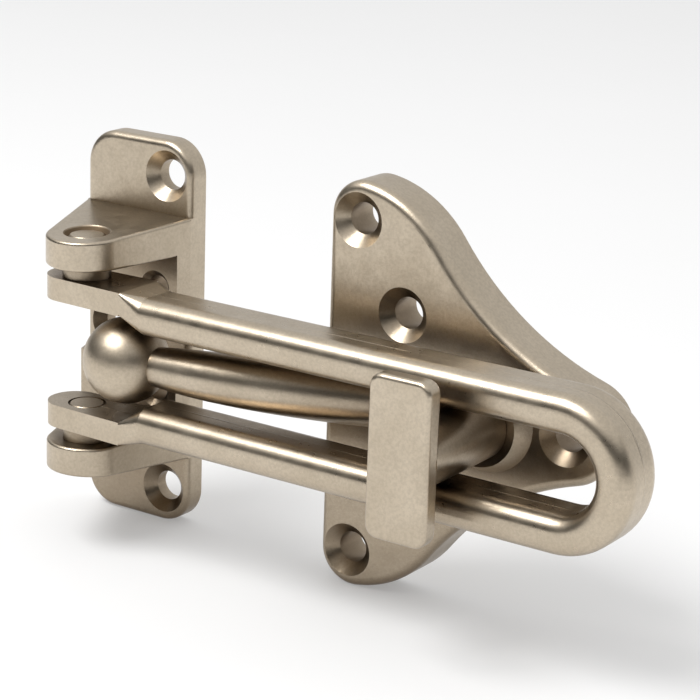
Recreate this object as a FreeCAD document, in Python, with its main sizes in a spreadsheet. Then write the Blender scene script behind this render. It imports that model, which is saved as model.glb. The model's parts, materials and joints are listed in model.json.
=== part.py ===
"""Swing bar door guard, closed and locked, in millimetres.

The origin is the centre of the jamb bracket's back face. +X runs along the bar towards the door
plate, +Z is up, and the backs of both plates lie in the plane Y = 0, so the front is at -Y.
"""
import FreeCAD, Part
import math
import os
import types

import Sketcher
from FreeCAD import Placement, Rotation, Vector

SIZES = {
    # Jamb bracket: a plate with two ears and a raised root beside each ear
    "jamb_width": 22.8,
    "jamb_height": 68.0,
    "jamb_thickness": 4.0,
    "jamb_corner": 6.0,
    "jamb_rounding": 1.2,
    "jamb_hole": 5.2,
    "jamb_sink": 8.8,
    "jamb_end_hole_side": 6.0,
    "jamb_end_hole_height": 27.9,
    "jamb_middle_hole_side": 5.7,
    "root_depth": 7.0,
    "root_start": 4.8,
    "root_hole": 4.2,
    "root_sink": 6.2,
    "root_hole_side": 6.2,
    "root_hole_height": 9.0,
    "ear_thickness": 6.2,
    "ear_drop": 1.3,
    "ear_tip": 6.8,
    "ear_rounding": 0.5,
    # Hinge pins and the spacer rings between each ear and eye
    "pin_side": 2.0,
    "bar_plane": 19.7,
    "pin_diameter": 6.3,
    "pin_mouth": 0.8,
    "pin_recess": 0.4,
    "pin_bevel": 0.4,
    "press_play": 0.01,
    "eye_play": 0.05,
    "spacer_wall": 0.85,
    "spacer_thickness": 2.1,
    "spacer_play": 0.05,
    # Swing bar: a U of flattened bar with a flat strap and an eye at each end
    "bar_centre": 9.3,
    "bar_width": 6.2,
    "bar_depth": 10.2,
    "bar_corner": 2.6,
    "bend_distance": 92.2,
    "leg_start": 15.0,
    "strap_length": 11.0,
    "strap_corner": 0.4,
    "eye_height": 9.1,
    "eye_thickness": 3.9,
    "eye_reach": 7.2,
    "eye_corner": 4.7,
    # Door plate with its boss and the arm that carries the ball
    "door_left": 42.4,
    "door_length": 52.4,
    "door_height": 68.2,
    "door_thickness": 8.1,
    "door_corner": 6.0,
    "door_shoulder": 20.8,
    "door_shoulder_start": 6.84,
    "door_flank": 51.4,
    "door_tip": 7.8,
    "door_rounding": 1.6,
    "door_hole": 5.2,
    "door_sink": 9.0,
    "door_end_hole_side": 5.5,
    "door_end_hole_height": 27.8,
    "door_inner_hole_side": 14.5,
    "door_inner_hole_height": 13.9,
    "boss_base": 8.4,
    "boss_top": 6.8,
    "boss_height": 2.9,
    "ball_side": 8.4,
    "ball_depth": 19.5,
    "ball_radius": 7.25,
    "arm_start": 3.1,
    "arm_end_side": 25.6,
    "arm_end_depth": 4.6,
    "arm_radius_1": 2.9,
    "arm_radius_2": 3.8,
    "arm_radius_3": 4.4,
    "arm_radius_4": 4.6,
    "arm_radius_5": 4.4,
    "arm_radius_6": 3.2,
    "stud_diameter": 3.0,
    "stud_in_ball": 9.0,
    "stud_in_arm": 9.0,
    # Turn knob, its shank, and what holds it in the back of the door plate
    "knob_side": 30.6,
    "knob_gap": 5.4,
    "head_width": 10.8,
    "head_height": 25.8,
    "head_thickness": 3.3,
    "head_corner": 2.2,
    "head_rounding": 0.8,
    "post_play": 0.7,
    "post_lift": 0.15,
    "shank_diameter": 6.5,
    "shank_play": 0.05,
    "tang_width": 5.0,
    "recess_diameter": 13.0,
    "spring_rise": 0.9,
    "spring_thickness": 0.35,
    "spring_width": 0.7,
    "stop_thickness": 1.2,
    "stop_play": 0.2,
    "stop_pin_diameter": 1.8,
    "stop_pin_circle": 5.0,
    "stop_pin_sunk": 1.5,
    "screw_diameter": 3.0,
    "screw_length": 7.0,
    "screw_head_diameter": 5.8,
    "screw_head_height": 1.4,
    "screw_slot_width": 0.8,
    "screw_slot_depth": 0.7,
    "back_play": 0.3,
    "quarter_turn": 90.0,
}

ARM_STATIONS = (0.0, 0.156, 0.376, 0.615, 0.817, 1.0)
ARM_CURVE = 1.7
ARM_STRAIGHT = 0.054
SINK_ANGLE = 90.0
OVERLAP = 1.0
LEVEL = 0.001
RIGHT_ANGLE = 90.0
FULL_TURN = 360.0

# A sketch numbers its two axes and the points of an edge in this way.
X_AXIS, Y_AXIS = -1, -2
START, END, CENTRE = 1, 2, 3
ON_ORIGIN = (X_AXIS, START)

# A rod stands along +Z; these lay it along +X or point it to the front.
ALONG_X = Rotation(Vector(0, 1, 0), RIGHT_ANGLE)
TO_FRONT = Rotation(Vector(1, 0, 0), RIGHT_ANGLE)
HALF_ROUND = Rotation(Vector(0, 0, 1), 2 * RIGHT_ANGLE)


class Size:
    """A length that knows its number and the expression that binds it to the sheet."""

    def __init__(self, value, text):
        self.value = value
        self.text = text

    def __add__(self, other):
        return combine(self, other, "+", self.value + number(other))

    def __radd__(self, other):
        return combine(other, self, "+", number(other) + self.value)

    def __sub__(self, other):
        return combine(self, other, "-", self.value - number(other))

    def __rsub__(self, other):
        return combine(other, self, "-", number(other) - self.value)

    def __mul__(self, other):
        return combine(self, other, "*", self.value * number(other))

    def __rmul__(self, other):
        return combine(other, self, "*", number(other) * self.value)

    def __truediv__(self, other):
        return combine(self, other, "/", self.value / number(other))

    def __neg__(self):
        return Size(-self.value, "(0 - %s)" % self.text)


def number(size):
    return size.value if isinstance(size, Size) else float(size)


def text(size):
    return size.text if isinstance(size, Size) else repr(float(size))


def combine(first, second, sign, value):
    return Size(value, "(%s %s %s)" % (text(first), sign, text(second)))


def root(size):
    return Size(math.sqrt(size.value), "sqrt(%s)" % size.text)


def sine(angle):
    return Size(math.sin(math.radians(angle.value)), "sin(%s)" % angle.text)


def cosine(angle):
    return Size(math.cos(math.radians(angle.value)), "cos(%s)" % angle.text)


def make_sheet(doc):
    """Fill the sheet and return its sizes by name."""
    sheet = doc.addObject("Spreadsheet::Sheet", "Sizes")
    names = {}
    for row, (name, value) in enumerate(SIZES.items(), 1):
        sheet.set("A%d" % row, name.replace("_", " "))
        sheet.set("B%d" % row, str(value))
        sheet.setAlias("B%d" % row, name)
        names[name] = Size(value, "Sizes." + name)
    doc.recompute()
    return types.SimpleNamespace(**names)


def bind(item, prop, size):
    """Bind a property to the sheet, or set it where it is a plain number."""
    if isinstance(size, Size):
        item.setExpression(prop, size.text)
    else:
        setattr(item, prop, size)


def place(item, x, y, z, rotation=Rotation()):
    """Put an object at (x, y, z), each bound to the sheet."""
    item.Placement = Placement(Vector(number(x), number(y), number(z)), rotation)
    for axis, size in zip("xyz", (x, y, z)):
        if isinstance(size, Size):
            item.setExpression(".Placement.Base." + axis, size.text)


def new_body(doc, label, x=0.0, y=0.0, z=0.0):
    body = doc.addObject("PartDesign::Body", label)
    body.Label = label
    place(body, x, y, z)
    return body


def plane(body, role):
    return [item for item in body.Origin.OriginFeatures if item.Role == role][0]


def attach(body, item, role, offset, x=0.0, y=0.0):
    """Attach a sketch or primitive to an origin plane, offset along the plane's normal."""
    item.AttachmentSupport = [(plane(body, role), "")]
    item.MapMode = "FlatFace"
    item.AttachmentOffset = Placement(Vector(number(x), number(y), number(offset)), Rotation())
    for axis, size in zip("xyz", (x, y, offset)):
        if isinstance(size, Size):
            item.setExpression(".AttachmentOffset.Base." + axis, size.text)


def new_sketch(body, name, role, offset=0.0):
    """Sketch on an origin plane: XZ looks at the front, XY from above, YZ from the right."""
    sketch = body.newObject("Sketcher::SketchObject", name)
    attach(body, sketch, role, offset)
    return sketch


def constrain(sketch, size, kind, *where):
    """Add a dimension and bind it to the sheet."""
    index = sketch.addConstraint(Sketcher.Constraint(kind, *where, number(size)))
    if isinstance(size, Size):
        sketch.setExpression("Constraints[%d]" % index, size.text)


def fix_point(sketch, edge, end, x, y):
    constrain(sketch, x, "DistanceX", *ON_ORIGIN, edge, end)
    constrain(sketch, y, "DistanceY", *ON_ORIGIN, edge, end)


def add_circle(sketch, x, y, diameter):
    centre = Vector(number(x), number(y), 0)
    edge = sketch.addGeometry(Part.Circle(centre, Vector(0, 0, 1), number(diameter) / 2))
    fix_point(sketch, edge, CENTRE, x, y)
    constrain(sketch, diameter, "Diameter", edge)


def add_arc(sketch, start, end, radius, side):
    """Add the short arc from start to end; side +1 turns left and -1 turns right."""
    half = (end - start) * 0.5
    rise = math.sqrt(max(radius ** 2 - half.Length ** 2, 0.0))
    towards = Vector(-half.y, half.x, 0).normalize() * (rise * side)
    centre = start + half + towards
    first, last = (start, end) if side > 0 else (end, start)
    angles = [math.atan2(point.y - centre.y, point.x - centre.x) for point in (first, last)]
    circle = Part.Circle(centre, Vector(0, 0, 1), radius)
    edge = sketch.addGeometry(Part.ArcOfCircle(circle, *angles))
    return (edge, START, END) if side > 0 else (edge, END, START)


def add_edges(sketch, corners):
    """Add a closed run of lines and arcs and return each edge with its start and end points.

    A corner is (x, y), reached by a line, or (x, y, radius, side), reached by an arc.
    """
    points = [Vector(number(corner[0]), number(corner[1]), 0) for corner in corners]
    edges = []
    for index, corner in enumerate(corners):
        start, end = points[index - 1], points[index]
        if len(corner) == 2:
            edges.append((sketch.addGeometry(Part.LineSegment(start, end)), START, END))
        else:
            edges.append(add_arc(sketch, start, end, number(corner[2]), corner[3]))
    return edges


def add_outline(sketch, corners):
    """Add a closed outline whose corners and arc radii are all bound to the sheet."""
    edges = add_edges(sketch, corners)
    for index, corner in enumerate(corners):
        edge, _, end = edges[index]
        following, start, _ = edges[(index + 1) % len(edges)]
        sketch.addConstraint(Sketcher.Constraint("Coincident", edge, end, following, start))
        fix_point(sketch, edge, end, corner[0], corner[1])
        if len(corner) == 4:
            constrain(sketch, corner[2], "Radius", edge)


def add_rounded_box(sketch, x0, x1, y0, y1, radius):
    """Add a rectangle with rounded corners, drawn anticlockwise."""
    add_outline(sketch, [
        (x1 - radius, y0),
        (x1, y0 + radius, radius, 1),
        (x1, y1 - radius),
        (x1 - radius, y1, radius, 1),
        (x0 + radius, y1),
        (x0, y1 - radius, radius, 1),
        (x0, y0 + radius),
        (x0 + radius, y0, radius, 1),
    ])


def tangent_point(centre, radius, point, side):
    """Point where a line from the given point touches a circle, side +1 or -1 of it."""
    along = (point[0] - centre[0], point[1] - centre[1])
    square = along[0] * along[0] + along[1] * along[1]
    share = radius * radius / square
    across = radius * root(square - radius * radius) / square * side
    return (centre[0] + share * along[0] - across * along[1],
            centre[1] + share * along[1] + across * along[0])


def point_at_depth(start, end, depth):
    """Point on a line in the plan view, where it lies the given depth in front of the back."""
    share = (depth + start[1]) / (start[1] - end[1])
    return (start[0] + (end[0] - start[0]) * share, -depth)


def pad(body, name, sketch, length):
    feature = body.newObject("PartDesign::Pad", name)
    feature.Profile = sketch
    feature.Length = number(length)
    bind(feature, "Length", length)
    return feature


def pocket(body, name, sketch, length=None):
    """Cut to a depth along the sketch's normal, or through everything on both sides."""
    feature = body.newObject("PartDesign::Pocket", name)
    feature.Profile = sketch
    if length is None:
        feature.Type = "ThroughAll"
        feature.Midplane = True
    else:
        feature.Reversed = True
        feature.Length = number(length)
        bind(feature, "Length", length)
    return feature


def mirror(body, name, originals):
    """Mirror features about the horizontal middle plane."""
    feature = body.newObject("PartDesign::Mirrored", name)
    feature.Originals = originals
    feature.MirrorPlane = (plane(body, "XY_Plane"), [""])
    body.Tip = feature
    return feature


def dress(body, kind, name, base, test, size):
    """Fillet or chamfer the edges of the feature before it that pass a test."""
    body.Document.recompute()
    names = ["Edge%d" % (index + 1) for index, edge in enumerate(base.Shape.Edges) if test(edge)]
    feature = body.newObject("PartDesign::" + kind, name)
    feature.Base = (base, names)
    bind(feature, "Radius" if kind == "Fillet" else "Size", size)
    return feature


def lies_at(edge, axis, size):
    """True where the whole edge lies in the plane that crosses an axis at the given size."""
    place = number(size)
    return all(abs(getattr(edge.BoundBox, axis + side) - place) < LEVEL for side in ("Min", "Max"))


def add_holes(body, name, offset, places, diameter, sink):
    """Countersunk screw holes, drilled from the front face."""
    sketch = new_sketch(body, name + "Centres", "XZ_Plane", offset)
    for x, z in places:
        add_circle(sketch, x, z, diameter)
    body.Document.recompute()
    hole = body.newObject("PartDesign::Hole", name)
    hole.Profile = sketch
    hole.DepthType = "ThroughAll"
    hole.HoleCutType = "Countersink"
    hole.HoleCutCustomValues = True
    hole.HoleCutCountersinkAngle = SINK_ANGLE
    bind(hole, "Diameter", diameter)
    bind(hole, "HoleCutDiameter", sink)
    return hole


def add_rod(doc, name, radius, length, x, y, z, rotation=Rotation()):
    rod = doc.addObject("Part::Cylinder", name)
    bind(rod, "Radius", radius)
    bind(rod, "Height", length)
    place(rod, x, y, z, rotation)
    return rod


def fuse_or_cut(doc, kind, name, base, tool):
    result = doc.addObject("Part::" + kind, name)
    result.Base = base
    result.Tool = tool
    return result


def ear_inner(s):
    """Height of an ear's inner face, above the eye and the spacer ring."""
    return s.eye_height + s.eye_thickness + s.spacer_thickness + 2 * s.spacer_play


def pin_end(s):
    """Height of the ear's sloping outer face at the pin, less the pin's recess."""
    run = s.bar_plane + s.ear_tip - s.jamb_thickness
    drop = s.ear_drop * (s.bar_plane - s.jamb_thickness) / run
    return ear_inner(s) + s.ear_thickness - drop - s.pin_recess


def make_jamb_bracket(doc, s):
    body = new_body(doc, "jamb_bracket")
    half_width = s.jamb_width / 2
    half_height = s.jamb_height / 2

    plate_sketch = new_sketch(body, "PlateOutline", "XZ_Plane")
    add_rounded_box(plate_sketch, -half_width, half_width, -half_height, half_height, s.jamb_corner)
    plate = pad(body, "Plate", plate_sketch, s.jamb_thickness)
    dress(body, "Fillet", "PlateRounding", plate,
          lambda edge: lies_at(edge, "Y", -s.jamb_thickness), s.jamb_rounding)

    pin = (s.pin_side, -s.bar_plane)
    right = (half_width, -s.jamb_thickness)
    left = (-half_width, -s.jamb_thickness)
    right_touch = tangent_point(pin, s.ear_tip, right, -1)
    left_touch = tangent_point(pin, s.ear_tip, left, 1)

    root_sketch = new_sketch(body, "RootOutline", "XY_Plane", s.root_start)
    add_outline(root_sketch, [
        (half_width, 0.0),
        (-half_width, 0.0),
        left,
        point_at_depth(left, left_touch, s.root_depth),
        point_at_depth(right, right_touch, s.root_depth),
        right,
    ])
    root_block = pad(body, "Root", root_sketch, ear_inner(s) - s.root_start + OVERLAP)

    ear_sketch = new_sketch(body, "EarOutline", "XY_Plane", ear_inner(s))
    add_outline(ear_sketch, [
        (half_width, 0.0),
        (-half_width, 0.0),
        left,
        left_touch,
        (*right_touch, s.ear_tip, 1),
        right,
    ])
    ear = pad(body, "Ear", ear_sketch, s.ear_thickness)

    slope_sketch = new_sketch(body, "EarSlope", "YZ_Plane")
    run = s.bar_plane + s.ear_tip - s.jamb_thickness
    top = ear_inner(s) + s.ear_thickness
    front = -(s.bar_plane + s.ear_tip + OVERLAP)
    add_outline(slope_sketch, [
        (front, top - s.ear_drop * (run + OVERLAP) / run),
        (-s.jamb_thickness, top),
        (-s.jamb_thickness, top + OVERLAP),
        (front, top + OVERLAP),
    ])
    slope = pocket(body, "EarSlopeCut", slope_sketch)
    both = mirror(body, "LowerEar", [root_block, ear, slope])

    bore_sketch = new_sketch(body, "PinBore", "XY_Plane")
    add_circle(bore_sketch, s.pin_side, -s.bar_plane, s.pin_diameter + 2 * s.press_play)
    rounded = dress(body, "Fillet", "EarRounding", both, lambda edge: ear_rim(edge, s), s.ear_rounding)
    bore = pocket(body, "PinBoreCut", bore_sketch)
    body.Tip = bore
    mouth = dress(body, "Chamfer", "PinMouth", bore, lambda edge: pin_mouth(edge, s), s.pin_mouth)
    body.Tip = mouth

    ends = [(s.jamb_end_hole_side, s.jamb_end_hole_height),
            (s.jamb_end_hole_side, -s.jamb_end_hole_height),
            (-s.jamb_middle_hole_side, 0.0)]
    add_holes(body, "PlateHoles", s.jamb_thickness, ends, s.jamb_hole, s.jamb_sink)
    roots = [(s.root_hole_side, s.root_hole_height), (s.root_hole_side, -s.root_hole_height)]
    add_holes(body, "RootHoles", s.root_depth, roots, s.root_hole, s.root_sink)
    return body


def ear_rim(edge, s):
    """True for the edges round an ear's free tip, in its inner and outer faces."""
    box = edge.BoundBox
    in_front = box.YMin < -s.bar_plane.value
    height = abs(box.ZMin + box.ZMax) / 2
    flat = box.ZMax - box.ZMin < s.ear_drop.value + LEVEL
    return in_front and flat and height > ear_inner(s).value - LEVEL


def pin_mouth(edge, s):
    """True for the rim of the pin bore in an ear's outer face."""
    box = edge.BoundBox
    bore = s.pin_diameter + 2 * s.press_play
    round_rim = abs(box.XMax - box.XMin - bore.value) < LEVEL
    return round_rim and abs(box.ZMin + box.ZMax) / 2 > ear_inner(s).value + OVERLAP


def make_hinge_pin(doc, s, name, side):
    """A pin that is pressed into its ear and runs through the spacer ring and the eye."""
    length = pin_end(s) - s.eye_height
    middle = (pin_end(s) + s.eye_height) / 2 * side
    rod = add_rod(doc, name + "_rod", s.pin_diameter / 2, length,
                  s.pin_side, -s.bar_plane, middle - length / 2)
    doc.recompute()
    pin = doc.addObject("Part::Chamfer", name)
    pin.Label = name
    pin.Base = rod
    rims = [index + 1 for index, edge in enumerate(rod.Shape.Edges) if len(edge.Vertexes) == 1]
    pin.Edges = [(index, s.pin_bevel.value, s.pin_bevel.value) for index in rims]
    return pin


def make_spacer(doc, s, name, side):
    """A ring on the hinge pin that keeps the eye off the ear."""
    middle = (s.eye_height + s.eye_thickness + s.spacer_play + s.spacer_thickness / 2) * side
    bore = s.pin_diameter / 2 + s.eye_play
    base = middle - s.spacer_thickness / 2
    outside = add_rod(doc, name + "_outside", bore + s.spacer_wall, s.spacer_thickness,
                      s.pin_side, -s.bar_plane, base)
    inside = add_rod(doc, name + "_inside", bore, s.spacer_thickness,
                     s.pin_side, -s.bar_plane, base)
    ring = fuse_or_cut(doc, "Cut", name, outside, inside)
    ring.Label = name
    return ring


def make_swing_bar(doc, s):
    """The bar's own origin is on the hinge axis, in the bar's middle plane."""
    body = new_body(doc, "swing_bar", s.pin_side, -s.bar_plane)
    half_depth = s.bar_depth / 2
    inner = s.bar_centre - s.bar_width / 2
    outer = s.bar_centre + s.bar_width / 2

    path = new_sketch(body, "BarPath", "XZ_Plane")
    add_bar_path(path, s)
    section = new_sketch(body, "BarSection", "YZ_Plane", s.leg_start)
    add_rounded_box(section, -half_depth, half_depth, inner, outer, s.bar_corner)
    bar = body.newObject("PartDesign::AdditivePipe", "Bar")
    bar.Profile = section
    bar.Spine = (path, [])
    bar.Transition = "Transformed"

    strap_sketch = new_sketch(body, "StrapOutline", "XY_Plane", s.eye_height)
    end = (s.eye_corner - s.eye_reach, 0.0)
    upper = tangent_point(end, s.eye_corner, (s.strap_length, half_depth), 1)
    lower = tangent_point(end, s.eye_corner, (s.strap_length, -half_depth), -1)
    add_outline(strap_sketch, [
        upper,
        (-s.eye_reach, 0.0, s.eye_corner, 1),
        (*lower, s.eye_corner, 1),
        (s.strap_length, -half_depth),
        (s.strap_length, half_depth),
    ])
    strap = pad(body, "Strap", strap_sketch, s.eye_thickness)

    flat_end = new_sketch(body, "StrapEnd", "YZ_Plane", s.strap_length)
    add_rounded_box(flat_end, -half_depth, half_depth, s.eye_height,
                    s.eye_height + s.eye_thickness, s.strap_corner)
    round_end = new_sketch(body, "LegEnd", "YZ_Plane", s.leg_start)
    add_rounded_box(round_end, -half_depth, half_depth, inner, outer, s.bar_corner)
    shoulder = body.newObject("PartDesign::AdditiveLoft", "Shoulder")
    shoulder.Profile = flat_end
    shoulder.Sections = [round_end]
    shoulder.Ruled = True
    mirror(body, "LowerEye", [strap, shoulder])

    bore_sketch = new_sketch(body, "EyeBore", "XY_Plane")
    add_circle(bore_sketch, 0.0, 0.0, s.pin_diameter + 2 * s.eye_play)
    pocket(body, "EyeBoreCut", bore_sketch)
    return body


def add_bar_path(sketch, s):
    """Centre line of the U: out along the upper leg, round the bend, back along the lower leg."""
    start = Vector(s.leg_start.value, s.bar_centre.value, 0)
    turn = Vector(s.bend_distance.value, s.bar_centre.value, 0)
    upper = sketch.addGeometry(Part.LineSegment(start, turn))
    circle = Part.Circle(Vector(s.bend_distance.value, 0, 0), Vector(0, 0, 1), s.bar_centre.value)
    bend = sketch.addGeometry(Part.ArcOfCircle(circle, -math.pi / 2, math.pi / 2))
    lower = sketch.addGeometry(Part.LineSegment(Vector(turn.x, -turn.y, 0), Vector(start.x, -start.y, 0)))
    sketch.addConstraint(Sketcher.Constraint("Coincident", upper, END, bend, END))
    sketch.addConstraint(Sketcher.Constraint("Coincident", bend, START, lower, START))
    fix_point(sketch, upper, START, s.leg_start, s.bar_centre)
    fix_point(sketch, upper, END, s.bend_distance, s.bar_centre)
    fix_point(sketch, bend, CENTRE, s.bend_distance, 0.0)
    fix_point(sketch, lower, END, s.leg_start, -s.bar_centre)
    constrain(sketch, s.bend_distance, "DistanceX", *ON_ORIGIN, lower, START)


def make_door_plate(doc, s):
    """The plate's own origin is the middle of its left edge, in its back face."""
    body = new_body(doc, "door_plate", s.door_left)

    outline = new_sketch(body, "PlateOutline", "XZ_Plane")
    add_door_outline(outline, s)
    plate = pad(body, "Plate", outline, s.door_thickness)
    rounded = dress(body, "Fillet", "PlateRounding", plate,
                    lambda edge: lies_at(edge, "Y", -s.door_thickness), s.door_rounding)
    body.Tip = rounded

    boss = body.newObject("PartDesign::AdditiveCone", "Boss")
    attach(body, boss, "XZ_Plane", s.door_thickness - OVERLAP, s.knob_side, 0.0)
    flare = (s.boss_base - s.boss_top) / s.boss_height
    bind(boss, "Radius1", s.boss_base + flare * OVERLAP)
    bind(boss, "Radius2", s.boss_top)
    bind(boss, "Height", s.boss_height + OVERLAP)

    add_arm(body, s)

    seat = body.newObject("PartDesign::SubtractiveSphere", "BallSeat")
    attach(body, seat, "XZ_Plane", s.ball_depth, ball_x(s) - s.door_left, 0.0)
    bind(seat, "Radius", s.ball_radius)

    stud_sketch = new_sketch(body, "StudBore", "YZ_Plane", ball_x(s) - s.door_left)
    add_circle(stud_sketch, -s.ball_depth, 0.0, s.stud_diameter + 2 * s.press_play)
    pocket(body, "StudBoreCut", stud_sketch, s.ball_radius + s.stud_in_arm)

    back = new_sketch(body, "Recess", "XZ_Plane")
    add_circle(back, s.knob_side, 0.0, s.recess_diameter)
    pocket(body, "RecessCut", back, recess_depth(s))
    shaft = new_sketch(body, "ShankBore", "XZ_Plane")
    add_circle(shaft, s.knob_side, 0.0, s.shank_diameter + 2 * s.shank_play)
    pocket(body, "ShankBoreCut", shaft)
    pin = new_sketch(body, "StopPinHole", "XZ_Plane")
    add_circle(pin, s.knob_side, s.stop_pin_circle, s.stop_pin_diameter)
    pocket(body, "StopPinHoleCut", pin, recess_depth(s) + s.stop_pin_sunk)

    places = [(s.door_end_hole_side, s.door_end_hole_height),
              (s.door_end_hole_side, -s.door_end_hole_height),
              (s.door_inner_hole_side, s.door_inner_hole_height),
              (s.door_inner_hole_side, -s.door_inner_hole_height),
              (s.door_length - s.door_tip, 0.0)]
    add_holes(body, "PlateHoles", s.door_thickness, places, s.door_hole, s.door_sink)
    return body


def add_door_outline(sketch, s):
    """A straight left edge, then corner, shoulder, hollow flank and tip, the same above and below."""
    half = s.door_height.value / 2
    corner, shoulder, flank, tip = (size.value for size in (
        s.door_corner, s.door_shoulder, s.door_flank, s.door_tip))
    corner_at = Vector(corner, half - corner, 0)
    first = Vector(s.door_shoulder_start.value, 0, 0)
    first.y = corner_at.y + math.sqrt(corner ** 2 - (first.x - corner_at.x) ** 2)
    shoulder_at = first + (corner_at - first) * (shoulder / corner)
    tip_at = Vector(s.door_length.value - tip, 0, 0)
    span = tip_at - shoulder_at
    reach = ((shoulder + flank) ** 2 - (flank + tip) ** 2 + span.Length ** 2) / (2 * span.Length)
    rise = math.sqrt((shoulder + flank) ** 2 - reach ** 2)
    along = Vector(span).normalize()
    flank_at = shoulder_at + along * reach + Vector(-along.y, along.x, 0) * rise
    second = shoulder_at + (flank_at - shoulder_at) * (shoulder / (shoulder + flank))
    third = tip_at + (flank_at - tip_at) * (tip / (flank + tip))

    edges = add_edges(sketch, [
        (0.0, corner_at.y),
        (first.x, first.y, corner, -1),
        (second.x, second.y, shoulder, -1),
        (third.x, third.y, flank, 1),
        (third.x, -third.y, tip, -1),
        (second.x, -second.y, flank, 1),
        (first.x, -first.y, shoulder, -1),
        (0.0, -corner_at.y, corner, -1),
    ])
    for before, after in zip(edges, edges[1:] + edges[:1]):
        joint = (before[0], before[2], after[0], after[1])
        sketch.addConstraint(Sketcher.Constraint("Tangent", *joint))
    left, corners, shoulders, flanks, tip_arc = (
        edges[0][0], (edges[1], edges[7]), (edges[2], edges[6]), (edges[3], edges[5]), edges[4][0])
    sketch.addConstraint(Sketcher.Constraint("PointOnObject", left, START, Y_AXIS))
    sketch.addConstraint(Sketcher.Constraint("PointOnObject", tip_arc, CENTRE, X_AXIS))
    for upper, lower in (corners, shoulders, flanks):
        sketch.addConstraint(Sketcher.Constraint("Equal", upper[0], lower[0]))
    sketch.addConstraint(Sketcher.Constraint("Symmetric", left, START, left, END, X_AXIS))
    constrain(sketch, s.door_height - 2 * s.door_corner, "DistanceY", left, START, left, END)
    constrain(sketch, s.door_corner, "Radius", corners[0][0])
    constrain(sketch, s.door_shoulder, "Radius", shoulders[0][0])
    constrain(sketch, s.door_flank, "Radius", flanks[0][0])
    constrain(sketch, s.door_tip, "Radius", tip_arc)
    constrain(sketch, s.door_length - s.door_tip, "DistanceX", *ON_ORIGIN, tip_arc, CENTRE)
    for edge, first_point, last_point in corners:
        inner = last_point if edge == corners[0][0] else first_point
        constrain(sketch, s.door_shoulder_start, "DistanceX", *ON_ORIGIN, edge, inner)


def add_arm(body, s):
    """A bent, tapering arm, lofted through round sections from the ball to the plate."""
    start = ball_x(s) - s.door_left + s.arm_start
    reach = s.arm_end_side - start
    radii = (s.arm_radius_1, s.arm_radius_2, s.arm_radius_3, s.arm_radius_4, s.arm_radius_5,
             s.arm_radius_6)
    sections = []
    for index, (share, radius) in enumerate(zip(ARM_STATIONS, radii), 1):
        bend = (ARM_STRAIGHT + (1 - ARM_STRAIGHT) * share) ** ARM_CURVE
        depth = s.ball_depth - (s.ball_depth - s.arm_end_depth) * bend
        section = new_sketch(body, "ArmSection%d" % index, "YZ_Plane", start + reach * share)
        add_circle(section, -depth, 0.0, 2 * radius)
        sections.append(section)
    arm = body.newObject("PartDesign::AdditiveLoft", "Arm")
    arm.Profile = sections[0]
    arm.Sections = sections[1:]


def ball_x(s):
    return s.pin_side + s.ball_side


def make_strike_ball(doc, s):
    """A ball with a blind bore, turned so that its seam lies on the far side from the bore."""
    ball = doc.addObject("Part::Sphere", "ball_solid")
    bind(ball, "Radius", s.ball_radius)
    place(ball, 0.0, 0.0, 0.0, HALF_ROUND)
    drill = add_rod(doc, "ball_drill", s.stud_diameter / 2 + s.press_play, s.stud_in_ball,
                    s.ball_radius - s.stud_in_ball, 0.0, 0.0, ALONG_X)
    strike_ball = fuse_or_cut(doc, "Cut", "strike_ball", ball, drill)
    strike_ball.Label = "strike_ball"
    place(strike_ball, ball_x(s), -s.ball_depth, 0.0)
    return strike_ball


def make_ball_stud(doc, s):
    """The stud that joins the ball to the arm."""
    length = s.stud_in_ball + s.stud_in_arm
    stud = add_rod(doc, "ball_stud", s.stud_diameter / 2, length,
                   ball_x(s) + s.ball_radius - s.stud_in_ball, -s.ball_depth, 0.0, ALONG_X)
    stud.Label = "ball_stud"
    return stud


def recess_depth(s):
    """Depth of the recess that takes the spring, the stop washer and the screw head."""
    return s.spring_rise + s.stop_thickness + s.screw_head_height + s.back_play


def knob_x(s):
    return s.door_left + s.knob_side


def make_turn_knob(doc, s):
    """A round post with a flat T-head, on a shank that ends in a tang with two flats."""
    body = new_body(doc, "turn_knob", knob_x(s))
    post_radius = s.bar_centre - s.bar_width / 2 - s.post_play
    head_back = s.bar_plane + s.bar_depth / 2 + s.knob_gap
    post_start = s.door_thickness + s.boss_height + s.post_lift
    tang_start = recess_depth(s) - s.spring_rise

    head_sketch = new_sketch(body, "HeadOutline", "XZ_Plane", head_back)
    add_rounded_box(head_sketch, -s.head_width / 2, s.head_width / 2,
                    -s.head_height / 2, s.head_height / 2, s.head_corner)
    head = pad(body, "Head", head_sketch, s.head_thickness)
    rounded = dress(body, "Fillet", "HeadRounding", head,
                    lambda edge: lies_at(edge, "Y", -head_back)
                    or lies_at(edge, "Y", -(head_back + s.head_thickness)), s.head_rounding)
    body.Tip = rounded

    post_sketch = new_sketch(body, "PostOutline", "XZ_Plane", post_start)
    add_circle(post_sketch, 0.0, 0.0, 2 * post_radius)
    pad(body, "Post", post_sketch, head_back - post_start + s.head_rounding)

    shank_sketch = new_sketch(body, "ShankOutline", "XZ_Plane", tang_start)
    add_circle(shank_sketch, 0.0, 0.0, s.shank_diameter)
    pad(body, "Shank", shank_sketch, post_start - tang_start + OVERLAP)

    tang_sketch = new_sketch(body, "TangOutline", "XZ_Plane", tang_end(s))
    add_flatted_round(tang_sketch, s.shank_diameter / 2, s.tang_width / 2)
    pad(body, "Tang", tang_sketch, tang_start - tang_end(s) + OVERLAP)

    thread_sketch = new_sketch(body, "ScrewBore", "XZ_Plane")
    add_circle(thread_sketch, 0.0, 0.0, s.screw_diameter)
    pocket(body, "ScrewBoreCut", thread_sketch, screw_start(s) + s.screw_length)
    return body


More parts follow.
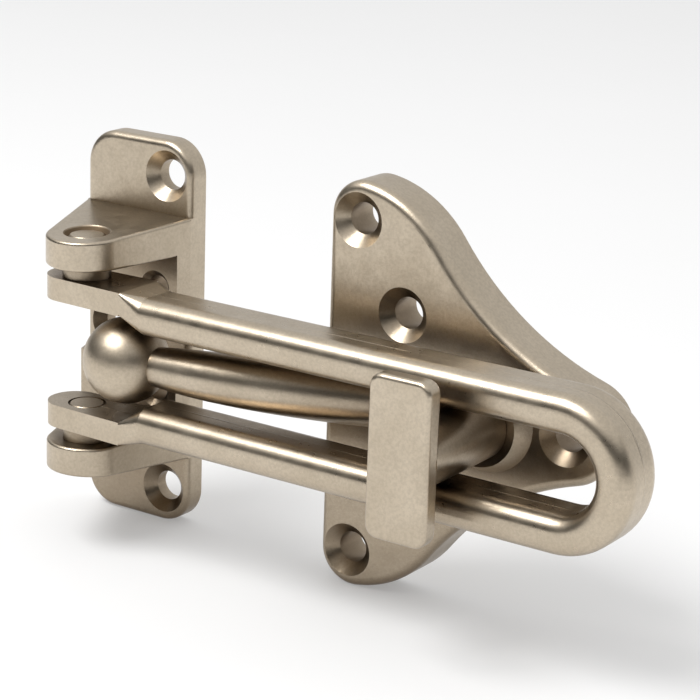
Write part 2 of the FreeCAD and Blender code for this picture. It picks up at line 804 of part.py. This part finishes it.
def screw_start(s):
    """Distance from the plate's back to the underside of the screw head."""
    return s.back_play + s.screw_head_height


def tang_end(s):
    """The tang stops a little short of the stop washer, so that the screw clamps it."""
    return screw_start(s) + s.spacer_play


def add_flatted_round(sketch, radius, half_width):
    """A circle with two flats, at plus and minus half the width."""
    rise = root(radius * radius - half_width * half_width)
    add_outline(sketch, [
        (half_width, rise),
        (-half_width, rise, radius, 1),
        (-half_width, -rise),
        (half_width, -rise, radius, 1),
    ])


def make_stop_washer(doc, s):
    """A washer keyed on the tang, with a notch that lets the knob make a quarter turn."""
    body = new_body(doc, "stop_washer", knob_x(s))
    outline = new_sketch(body, "Disc", "XZ_Plane", screw_start(s))
    outer = s.recess_diameter / 2 - s.stop_play
    add_circle(outline, 0.0, 0.0, 2 * outer)
    pad(body, "DiscPad", outline, s.stop_thickness)

    key = new_sketch(body, "KeyHole", "XZ_Plane")
    add_flatted_round(key, s.shank_diameter / 2 + s.shank_play, s.tang_width / 2 + s.shank_play)
    pocket(body, "KeyHoleCut", key)

    swell = s.stop_pin_diameter / 2 + s.stop_play
    inside = s.stop_pin_circle - swell
    beyond = outer + OVERLAP
    across = (sine(s.quarter_turn), cosine(s.quarter_turn))
    halfway = (sine(s.quarter_turn / 2), cosine(s.quarter_turn / 2))
    far = 2 * beyond
    end = (inside * across[0], inside * across[1])
    past_end = (end[0] + swell * across[1], end[1] - swell * across[0])
    notch = new_sketch(body, "Notch", "XZ_Plane")
    add_outline(notch, [
        (0.0, inside, inside, 1),
        (-swell, inside),
        (-swell, beyond),
        (far * halfway[0], far * halfway[1]),
        (past_end[0] + (beyond - inside) * across[0], past_end[1] + (beyond - inside) * across[1]),
        past_end,
        end,
    ])
    pocket(body, "NotchCut", notch)
    return body


def make_spring_washer(doc, s):
    """A dished spring ring between the recess floor and the stop washer."""
    body = new_body(doc, "spring_washer", knob_x(s))
    profile = new_sketch(body, "RingSection", "XY_Plane")
    inside = s.shank_diameter / 2 + s.shank_play
    floor = -recess_depth(s)
    top = floor + s.spring_rise
    add_outline(profile, [
        (inside, top - s.spring_thickness),
        (inside + s.spring_width, floor),
        (inside + s.spring_width, floor + s.spring_thickness),
        (inside, top),
    ])
    ring = body.newObject("PartDesign::Revolution", "Ring")
    ring.Profile = profile
    ring.ReferenceAxis = (profile, ["V_Axis"])
    ring.Angle = FULL_TURN
    return body


def make_stop_pin(doc, s):
    """The pin in the recess floor that the stop washer turns against."""
    length = s.stop_thickness + s.spring_rise + s.stop_pin_sunk
    pin = add_rod(doc, "stop_pin", s.stop_pin_diameter / 2, length,
                  knob_x(s), -screw_start(s), s.stop_pin_circle, TO_FRONT)
    pin.Label = "stop_pin"
    return pin


def make_knob_screw(doc, s):
    """A slotted screw that holds the stop washer on the tang."""
    head = add_rod(doc, "screw_head", s.screw_head_diameter / 2, s.screw_head_height,
                   0.0, -s.back_play, 0.0, TO_FRONT)
    shaft = add_rod(doc, "screw_shaft", s.screw_diameter / 2, s.screw_length + s.screw_head_height,
                    0.0, -s.back_play, 0.0, TO_FRONT)
    solid = fuse_or_cut(doc, "Fuse", "screw_solid", head, shaft)
    slot = doc.addObject("Part::Box", "screw_slot")
    bind(slot, "Length", s.screw_head_diameter + 2 * OVERLAP)
    bind(slot, "Width", s.screw_slot_depth + OVERLAP)
    bind(slot, "Height", s.screw_slot_width)
    place(slot, -(s.screw_head_diameter / 2 + OVERLAP),
          -(s.back_play + s.screw_slot_depth), -s.screw_slot_width / 2)
    screw = fuse_or_cut(doc, "Cut", "knob_screw", solid, slot)
    screw.Label = "knob_screw"
    place(screw, knob_x(s), 0.0, 0.0)
    return screw


def check(doc, pieces):
    """Stop if any object failed or any piece has no sound solid."""
    for item in doc.Objects:
        if "Invalid" in item.State or "Error" in item.State:
            raise RuntimeError("%s is not sound: %s" % (item.Name, item.State))
    for piece in pieces:
        if piece.Shape.isNull() or not piece.Shape.isValid() or not piece.Shape.Solids:
            raise RuntimeError("%s has no sound solid" % piece.Label)


def main():
    doc = FreeCAD.newDocument("DoorGuard")
    s = make_sheet(doc)
    pieces = [
        make_jamb_bracket(doc, s),
        make_hinge_pin(doc, s, "upper_hinge_pin", 1),
        make_hinge_pin(doc, s, "lower_hinge_pin", -1),
        make_spacer(doc, s, "upper_spacer", 1),
        make_spacer(doc, s, "lower_spacer", -1),
        make_swing_bar(doc, s),
        make_door_plate(doc, s),
        make_strike_ball(doc, s),
        make_ball_stud(doc, s),
        make_turn_knob(doc, s),
        make_stop_washer(doc, s),
        make_spring_washer(doc, s),
        make_stop_pin(doc, s),
        make_knob_screw(doc, s),
    ]
    doc.recompute()
    check(doc, pieces)
    os.makedirs("parts", exist_ok=True)
    for piece in pieces:
        piece.Shape.exportStep("parts/%s.step" % piece.Label)
        box = piece.Shape.BoundBox
        print("%-16s %d solid(s) %9.2f mm3  X %7.2f %7.2f  Y %7.2f %7.2f  Z %7.2f %7.2f" % (
            piece.Label, len(piece.Shape.Solids), piece.Shape.Volume,
            box.XMin, box.XMax, box.YMin, box.YMax, box.ZMin, box.ZMax))


main()
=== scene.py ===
"""Looks of the swing bar door guard: satin nickel parts standing on a pale floor."""
import json
import math

import bmesh
import bpy
from mathutils import Matrix, Vector


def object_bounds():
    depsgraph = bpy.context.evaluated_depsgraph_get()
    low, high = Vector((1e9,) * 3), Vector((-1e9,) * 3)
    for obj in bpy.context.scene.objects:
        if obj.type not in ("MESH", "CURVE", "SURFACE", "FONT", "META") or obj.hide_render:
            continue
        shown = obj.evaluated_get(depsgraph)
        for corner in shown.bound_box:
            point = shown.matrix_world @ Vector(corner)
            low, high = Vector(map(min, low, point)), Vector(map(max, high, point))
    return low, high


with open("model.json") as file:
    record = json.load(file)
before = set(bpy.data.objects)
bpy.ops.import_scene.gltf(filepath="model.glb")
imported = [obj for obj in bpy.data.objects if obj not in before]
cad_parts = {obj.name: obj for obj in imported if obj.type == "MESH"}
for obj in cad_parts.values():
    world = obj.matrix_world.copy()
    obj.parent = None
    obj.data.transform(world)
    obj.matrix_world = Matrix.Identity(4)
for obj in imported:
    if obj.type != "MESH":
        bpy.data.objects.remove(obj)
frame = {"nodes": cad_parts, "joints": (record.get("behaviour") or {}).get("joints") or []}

CAD_LOW, CAD_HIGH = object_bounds()
MM = 0.001

# The bar turns about the upright line through this point, and closed it lies in the point's plane
HINGE = {joint["name"]: joint["pos_m"] for joint in frame["joints"]}["bar_swing"]
PIN_AXIS = (HINGE[0], HINGE[1], 0.0)
BAR_PLANE = HINGE[1]

# Camera: place in metres, angles in degrees, focal length in widths of the frame
CAMERA_AT = (0.2440, -0.3018, 0.1117)
CAMERA_AZIMUTH = 33.823
CAMERA_ELEVATION = 16.597
CAMERA_ROLL = 1.979
CAMERA_FOCAL = 3.2883
SENSOR_WIDTH_MM = 36.0
CAMERA_REACH = (0.01, 20.0)

# Colour of the plating, and what its darker and lighter places multiply it by
NICKEL = (0.575, 0.494, 0.386)
CLOUD_DARK = (0.93, 0.92, 0.90)
CLOUD_LIGHT = (1.05, 1.05, 1.05)
FLECK_DARK = (0.66, 0.66, 0.66)
# The plating's colour times this is the shade painted into crevices, between parts and round the
# pins
SHADE_DARK = (0.30, 0.25, 0.20)

# Noise patterns: scale, about the number of cells in a metre, then detail and roughness
CLOUD = (130.0, 4.0, 0.55)
SPECK = (1900.0, 3.0, 0.7)
PATCH = (420.0, 3.0, 0.5)
GRAIN = (2200.0, 3.0, 0.7)
DRAWN_GRAIN = (4200.0, 3.0, 0.6)
CASTING_WAVE = (260.0, 2.0, 0.5)
FLOOR_CLOUD = (9.0, 3.0, 0.5)

# Parts of a pattern's values that count: where the effect starts and where it is full
CLOUD_SPAN = (0.32, 0.68)
FLECK_SPAN = (0.40, 0.62)
GLOSS_SPAN = (0.36, 0.64)
WORN_SPAN = (0.40, 0.56)
FLECK_MOST = 0.34
WORN_LEAST = 0.15
PATCH_IN_GLOSS = 0.6
SPECK_IN_GLOSS = 0.4
PLAIN_IN_DRAWN = 0.45
LINES_IN_DRAWN = 0.55

# Painted shade in crevices and between parts: reach in mm, openness where it is full and where it
# ends, and the most of it
CREVICE_SHADE = ((30.0, 0.1, 0.85, 1.0), (2.5, 0.1, 0.8, 0.75))
CREVICE_SAMPLES = 4

# Heights of the bumps, and the spans of the parting line and of the painted shade ring round a
# pressed pin
WAVE_HEIGHT = 0.12 * MM
GRAIN_HEIGHT = 0.02 * MM
SEAM_HEIGHT = 0.10 * MM
SEAM_STRENGTH = 0.8
SEAM_SPAN = (0.04 * MM, 0.22 * MM)
RING_SPAN = (3.7 * MM, 4.0 * MM)
RING_ROUGHER = 0.4
FLATTEN_Z = (1.0, 1.0, 0.0)
ALONG_BAR = (0.2, 1.0, 1.0)

# Floor: a disc in metres, and the share of plain white that the eye and the metal see in it
STAGE_CENTRE = (0.05, 0.0, 0.0)
FLOOR_RADIUS = 6.0
FLOOR_SIDES = 96
FLOOR_DROP = 0.02 * MM
FLOOR_DARK = (0.90, 0.90, 0.90)
FLOOR_LIGHT = (0.93, 0.93, 0.93)
FLOOR_ROUGHNESS = 0.9
FLOOR_SPECULAR = 0.1
FLOOR_WHITE = 0.3

# Lamp: place in metres, size in metres, power in watts
LAMP_AT = (-0.22, -0.50, 0.85)
LAMP_SIZE = (0.60, 0.42)
LAMP_POWER = 7.6

# World: brightness by the height of a direction, 0 at the horizon and 1 straight up, and the
# bright wall behind the object
SKY_STOPS = ((0.0, 0.01), (0.25, 0.02), (0.45, 0.30), (0.62, 1.0), (1.0, 1.0))
WALL_SPAN = (0.0, 0.6)
WALL_MOST = 0.9
WORLD_STRENGTH = 0.78

# Sockets of Blender's colour mix node
MIX_SHARE = 0
MIX_FIRST = 6
MIX_SECOND = 7
MIX_RESULT = 2


def scaled(colour, factors):
    return tuple(channel * factor for channel, factor in zip(colour, factors))


def link(tree, source, target):
    tree.links.new(source, target)


def add_node(tree, kind, **settings):
    node = tree.nodes.new(kind)
    for name, value in settings.items():
        setattr(node, name, value)
    return node


def add_noise(tree, coordinates, pattern):
    node = add_node(tree, "ShaderNodeTexNoise")
    for name, number in zip(("Scale", "Detail", "Roughness"), pattern):
        node.inputs[name].default_value = number
    link(tree, coordinates, node.inputs["Vector"])
    return node.outputs["Fac"]


def map_range(tree, value, span, at_start, at_end):
    """at_start at the span's start, at_end at its end, and even between them."""
    node = add_node(tree, "ShaderNodeMapRange")
    numbers = {"From Min": span[0], "From Max": span[1], "To Min": at_start, "To Max": at_end}
    for name, number in numbers.items():
        node.inputs[name].default_value = number
    link(tree, value, node.inputs["Value"])
    return node.outputs["Result"]


def math_node(tree, operation, *values):
    node = add_node(tree, "ShaderNodeMath", operation=operation)
    for index, value in enumerate(values):
        if isinstance(value, (int, float)):
            node.inputs[index].default_value = value
        else:
            link(tree, value, node.inputs[index])
    return node.outputs[0]


def blend_values(tree, first, first_share, second, second_share):
    """The weighted sum of two patterns."""
    return math_node(tree, "ADD", math_node(tree, "MULTIPLY", first, first_share),
                     math_node(tree, "MULTIPLY", second, second_share))


def mix_colour(tree, share, first, second):
    node = add_node(tree, "ShaderNodeMix", data_type="RGBA")
    link(tree, share, node.inputs[MIX_SHARE])
    for index, colour in ((MIX_FIRST, first), (MIX_SECOND, second)):
        if isinstance(colour, tuple):
            node.inputs[index].default_value = (*colour, 1.0)
        else:
            link(tree, colour, node.inputs[index])
    return node.outputs[MIX_RESULT]


def stretched(tree, coordinates, scale):
    node = add_node(tree, "ShaderNodeMapping")
    node.inputs["Scale"].default_value = scale
    link(tree, coordinates, node.inputs["Vector"])
    return node.outputs["Vector"]


def add_bump(tree, height, strength, distance, before=None):
    """A bump on top of the one before it."""
    node = add_node(tree, "ShaderNodeBump")
    node.inputs["Strength"].default_value = strength
    node.inputs["Distance"].default_value = distance
    link(tree, height, node.inputs["Height"])
    if before is not None:
        link(tree, before, node.inputs["Normal"])
    return node.outputs["Normal"]


def plated_and_shaded_colour(tree, cloud, speck, painted_shade):
    """Slow clouds, dark flecks, and painted shade where other surfaces are near."""
    share = map_range(tree, cloud, CLOUD_SPAN, 0.0, 1.0)
    colour = mix_colour(tree, share, scaled(NICKEL, CLOUD_DARK), scaled(NICKEL, CLOUD_LIGHT))
    fleck = map_range(tree, speck, FLECK_SPAN, 0.0, FLECK_MOST)
    colour = mix_colour(tree, fleck, colour, scaled(NICKEL, FLECK_DARK))
    # Painted shade: darker where other surfaces are near, found by ambient occlusion
    for reach, full, ends, most in CREVICE_SHADE:
        openness = add_node(tree, "ShaderNodeAmbientOcclusion", samples=CREVICE_SAMPLES)
        openness.inputs["Distance"].default_value = reach * MM
        share = map_range(tree, openness.outputs["AO"], (full, ends), most, 0.0)
        colour = mix_colour(tree, share, colour, painted_shade)
    return colour


def shade_ring_round_pin(tree, place):
    """1 near the axis of the pressed pins, fading to 0 just outside the hole that holds them; shade
    is painted there.
    """
    reach = add_node(tree, "ShaderNodeVectorMath", operation="DISTANCE")
    link(tree, stretched(tree, place, FLATTEN_Z), reach.inputs[0])
    reach.inputs[1].default_value = PIN_AXIS
    return map_range(tree, reach.outputs["Value"], RING_SPAN, 1.0, 0.0)


def parting_line(tree, place, cloud):
    """A thin raised line in the bar's plane, worn away in places."""
    parts = add_node(tree, "ShaderNodeSeparateXYZ")
    link(tree, place, parts.inputs[0])
    off = math_node(tree, "ABSOLUTE", math_node(tree, "SUBTRACT", parts.outputs["Y"], BAR_PLANE))
    ridge = map_range(tree, off, SEAM_SPAN, 1.0, 0.0)
    worn = map_range(tree, cloud, WORN_SPAN, WORN_LEAST, 1.0)
    return math_node(tree, "MULTIPLY", ridge, worn)


def satin_metal(name, smooth=0.28, rough=0.37, grain=0.85, wave=0.07, drawn=False, shaded_pin_ring=False):
    """Blasted and plated metal: fine grain, faint casting waves, uneven tone and gloss, and painted
    shade in crevices and between parts.
    """
    material = bpy.data.materials.new(name)
    material.use_nodes = True
    tree = material.node_tree
    shader = tree.nodes["Principled BSDF"]
    shader.inputs["Metallic"].default_value = 1.0
    place = add_node(tree, "ShaderNodeTexCoord").outputs["Object"]

    cloud = add_noise(tree, place, CLOUD)
    speck = add_noise(tree, place, SPECK)
    patch = add_noise(tree, place, PATCH)
    # Colour of the painted shade in crevices, between parts and round the pins
    painted_shade = scaled(NICKEL, SHADE_DARK)
    colour = plated_and_shaded_colour(tree, cloud, speck, painted_shade)
    spread = blend_values(tree, patch, PATCH_IN_GLOSS, speck, SPECK_IN_GLOSS)
    gloss = map_range(tree, spread, GLOSS_SPAN, smooth, rough)
    # Painted shade in the gap round the pins, where the surface is also made rougher
    if shaded_pin_ring:
        ring = shade_ring_round_pin(tree, place)
        colour = mix_colour(tree, ring, colour, painted_shade)
        gloss = math_node(tree, "ADD", gloss, math_node(tree, "MULTIPLY", ring, RING_ROUGHER))
    link(tree, colour, shader.inputs["Base Color"])
    link(tree, gloss, shader.inputs["Roughness"])

    fine = add_noise(tree, place, GRAIN)
    if drawn:
        lines = add_noise(tree, stretched(tree, place, ALONG_BAR), DRAWN_GRAIN)
        fine = blend_values(tree, fine, PLAIN_IN_DRAWN, lines, LINES_IN_DRAWN)
    normal = add_bump(tree, add_noise(tree, place, CASTING_WAVE), wave, WAVE_HEIGHT)
    normal = add_bump(tree, fine, grain, GRAIN_HEIGHT, normal)
    if drawn:
        seam = parting_line(tree, place, cloud)
        normal = add_bump(tree, seam, SEAM_STRENGTH, SEAM_HEIGHT, normal)
    link(tree, normal, shader.inputs["Normal"])
    return material


CAST = satin_metal("cast_satin_nickel")
# The jamb bracket's finish, with shade painted round its pins
DRILLED = satin_metal("drilled_satin_nickel", shaded_pin_ring=True)
DRAWN = satin_metal("drawn_satin_nickel", smooth=0.27, rough=0.36, grain=0.6, drawn=True)
TURNED = satin_metal("turned_nickel", smooth=0.34, rough=0.42, grain=0.8, wave=0.06)

FINISHES = {
    "jamb_bracket": DRILLED,
    "door_plate": CAST,
    "turn_knob": CAST,
    "swing_bar": DRAWN,
    "strike_ball": TURNED,
    "ball_stud": TURNED,
    "upper_hinge_pin": TURNED,
    "lower_hinge_pin": TURNED,
    "upper_spacer": TURNED,
    "lower_spacer": TURNED,
    "stop_washer": TURNED,
    "spring_washer": TURNED,
    "stop_pin": TURNED,
    "knob_screw": TURNED,
}
for name, material in FINISHES.items():
    mesh = frame["nodes"][name].data
    mesh.materials.clear()
    mesh.materials.append(material)


def add_floor():
    """A pale disc that is whiter to the eye and to the metal, and keeps the shadows."""
    mesh = bpy.data.meshes.new("floor")
    shape = bmesh.new()
    bmesh.ops.create_circle(shape, cap_ends=True, segments=FLOOR_SIDES, radius=FLOOR_RADIUS)
    shape.to_mesh(mesh)
    shape.free()
    floor = bpy.data.objects.new("floor", mesh)
    floor.location = (STAGE_CENTRE[0], STAGE_CENTRE[1], CAD_LOW.z - FLOOR_DROP)
    bpy.context.scene.collection.objects.link(floor)
    material = bpy.data.materials.new("pale_floor")
    material.use_nodes = True
    tree = material.node_tree
    shader = tree.nodes["Principled BSDF"]
    shader.inputs["Roughness"].default_value = FLOOR_ROUGHNESS
    shader.inputs["Specular IOR Level"].default_value = FLOOR_SPECULAR
    place = add_node(tree, "ShaderNodeTexCoord").outputs["Object"]
    cloud = add_noise(tree, place, FLOOR_CLOUD)
    colour = mix_colour(tree, cloud, FLOOR_DARK, FLOOR_LIGHT)
    link(tree, colour, shader.inputs["Base Color"])
    path = add_node(tree, "ShaderNodeLightPath")
    seen = math_node(tree, "ADD", path.outputs["Is Camera Ray"], path.outputs["Is Glossy Ray"])
    seen = math_node(tree, "ADD", seen, path.outputs["Is Transmission Ray"])
    white = add_node(tree, "ShaderNodeEmission")
    white.inputs["Strength"].default_value = 1.0
    mix = add_node(tree, "ShaderNodeMixShader")
    link(tree, math_node(tree, "MULTIPLY", seen, FLOOR_WHITE), mix.inputs[0])
    link(tree, shader.outputs[0], mix.inputs[1])
    link(tree, white.outputs[0], mix.inputs[2])
    link(tree, mix.outputs[0], tree.nodes["Material Output"].inputs["Surface"])
    mesh.materials.append(material)


def add_lamp():
    """One large soft lamp above, in front and to the left."""
    data = bpy.data.lights.new("key", "AREA")
    data.shape = "RECTANGLE"
    data.size, data.size_y = LAMP_SIZE
    data.energy = LAMP_POWER
    lamp = bpy.data.objects.new("key", data)
    lamp.location = LAMP_AT
    lamp.rotation_mode = "QUATERNION"
    aim = Vector(STAGE_CENTRE) - Vector(LAMP_AT)
    lamp.rotation_quaternion = aim.to_track_quat("-Z", "Y")
    bpy.context.scene.collection.objects.link(lamp)


def add_world():
    """A studio that is bright overhead and behind the object, and dark at the horizon and below."""
    world = bpy.data.worlds.new("studio")
    world.use_nodes = True
    bpy.context.scene.world = world
    tree = world.node_tree
    background = tree.nodes["Background"]
    direction = add_node(tree, "ShaderNodeTexCoord").outputs["Generated"]
    parts = add_node(tree, "ShaderNodeSeparateXYZ")
    link(tree, direction, parts.inputs[0])
    ramp = add_node(tree, "ShaderNodeValToRGB")
    ramp.color_ramp.interpolation = "EASE"
    while len(ramp.color_ramp.elements) < len(SKY_STOPS):
        ramp.color_ramp.elements.new(0.5)
    for element, (position, level) in zip(ramp.color_ramp.elements, SKY_STOPS):
        element.position = position
        element.color = (level, level, level, 1.0)
    link(tree, parts.outputs["Z"], ramp.inputs["Fac"])
    wall = map_range(tree, parts.outputs["Y"], WALL_SPAN, 0.0, WALL_MOST)
    brightness = math_node(tree, "MAXIMUM", ramp.outputs["Color"], wall)
    link(tree, brightness, background.inputs["Color"])
    background.inputs["Strength"].default_value = WORLD_STRENGTH


def add_camera():
    """The photograph's camera, rolled a little about its own line of sight."""
    azimuth = math.radians(CAMERA_AZIMUTH)
    elevation = math.radians(CAMERA_ELEVATION)
    roll = math.radians(CAMERA_ROLL)
    back = Vector((math.sin(azimuth) * math.cos(elevation),
                   -math.cos(azimuth) * math.cos(elevation),
                   math.sin(elevation)))
    level = Vector((math.cos(azimuth), math.sin(azimuth), 0.0))
    above = back.cross(level)
    right = level * math.cos(roll) + above * math.sin(roll)
    up = above * math.cos(roll) - level * math.sin(roll)
    turn = Matrix((right, up, back)).transposed().to_4x4()
    data = bpy.data.cameras.new("camera")
    data.sensor_width = SENSOR_WIDTH_MM
    data.lens = CAMERA_FOCAL * SENSOR_WIDTH_MM
    data.clip_start, data.clip_end = CAMERA_REACH
    camera = bpy.data.objects.new("camera", data)
    camera.matrix_world = Matrix.Translation(CAMERA_AT) @ turn
    bpy.context.scene.collection.objects.link(camera)
    bpy.context.scene.camera = camera


add_floor()
add_world()
add_lamp()
add_camera()
bpy.context.scene.view_settings.view_transform = "Standard"
